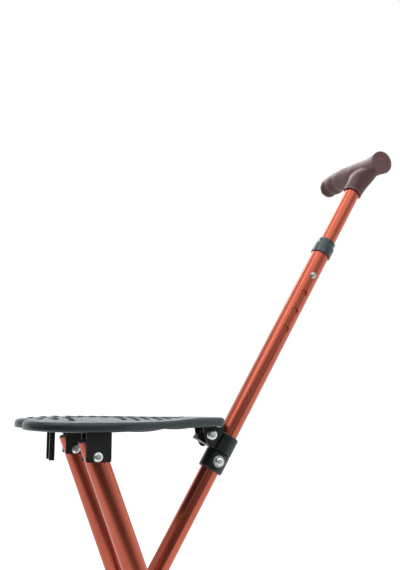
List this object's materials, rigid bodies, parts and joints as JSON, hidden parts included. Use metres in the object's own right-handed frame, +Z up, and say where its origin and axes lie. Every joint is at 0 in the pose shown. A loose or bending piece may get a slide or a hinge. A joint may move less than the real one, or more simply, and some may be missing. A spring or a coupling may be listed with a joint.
{
  "type": "walking stick seat",
  "caption": "Walking stick with a T handle and a perforated seat that folds out on two crossed legs, with a push-button height setting.",
  "frame": {"origin": "on the floor, under the middle of the open stool's bounding box", "axes": "+Z up, +X from the back of the seat towards the stick's handle, the fold lies in the XZ plane"},
  "size_m": [0.4898, 0.1972, 0.8234],
  "materials": {
    "anodised_tube": "gloss",
    "handle_plastic": "satin",
    "seat_plastic": "satin",
    "black_plastic": "gloss",
    "black_sheet": "satin",
    "foot_rubber": "matte",
    "bright_steel": "polished",
    "spring_steel": "brushed"
  },
  "bodies": {
    "stick": {"main_tube": "anodised_tube", "collar": "black_plastic", "stop_clamp": "black_plastic", "clamp_bolt": "bright_steel", "clamp_nut": "bright_steel", "clamp_washers": "bright_steel", "cross_hub": "black_plastic", "main_foot": "foot_rubber"},
    "upper": {"upper_tube": "anodised_tube", "upper_tube_plug": "black_plastic", "handle": "handle_plastic"},
    "button": {"snap_clip": "spring_steel"},
    "legs": {"near_leg": "anodised_tube", "near_leg_cap": "black_plastic", "near_leg_foot": "foot_rubber", "far_leg": "anodised_tube", "far_leg_cap": "black_plastic", "far_leg_foot": "foot_rubber", "pivot_axle": "bright_steel", "pivot_nut": "bright_steel", "pivot_washers": "bright_steel", "near_spacer": "black_plastic", "far_spacer": "black_plastic"},
    "seat": {"seat_shell": "seat_plastic", "near_rear_bracket": "black_sheet", "far_rear_bracket": "black_sheet", "front_bracket": "black_sheet", "hinge_bolt": "bright_steel", "hinge_nut": "bright_steel", "near_rear_bolt": "bright_steel", "near_rear_nut": "bright_steel", "far_rear_bolt": "bright_steel", "far_rear_nut": "bright_steel", "seat_clip": "black_plastic"},
    "ring": {"slide_ring": "black_plastic"}
  },
  "joints": [
    {"name": "leg_fold", "type": "hinge", "parent": "stick", "child": "legs", "pos_m": [-0.07294, 0, 0.28123], "axis": [0, 1, 0], "range_deg": [0, 50.6]},
    {"name": "seat_fold", "type": "hinge", "parent": "legs", "child": "seat", "pos_m": [-0.13622, 0, 0.44782], "axis": [0, -1, 0], "range_deg": [0, 113.04]},
    {"name": "ring_fold", "type": "hinge", "parent": "seat", "child": "ring", "pos_m": [0.00608, 0, 0.46508], "axis": [0, 1, 0], "range_deg": [0, 62.44]},
    {"name": "height_adjust", "type": "slide", "parent": "stick", "child": "upper", "axis": [-0.497, 0, -0.8678], "range_m": [0, 0.0786]},
    {"name": "button_press", "type": "slide", "parent": "upper", "child": "button", "axis": [0, 1, 0], "range_m": [0, 0.0033], "stiffness_N_per_m": 1500, "springref_m": -0.002, "deforming": ["snap_clip"]}
  ],
  "couplings": [
    {"joint": "seat_fold", "follows": "leg_fold", "ratio": 2.2338},
    {"joint": "ring_fold", "follows": "leg_fold", "ratio": 1.2338}
  ]
}
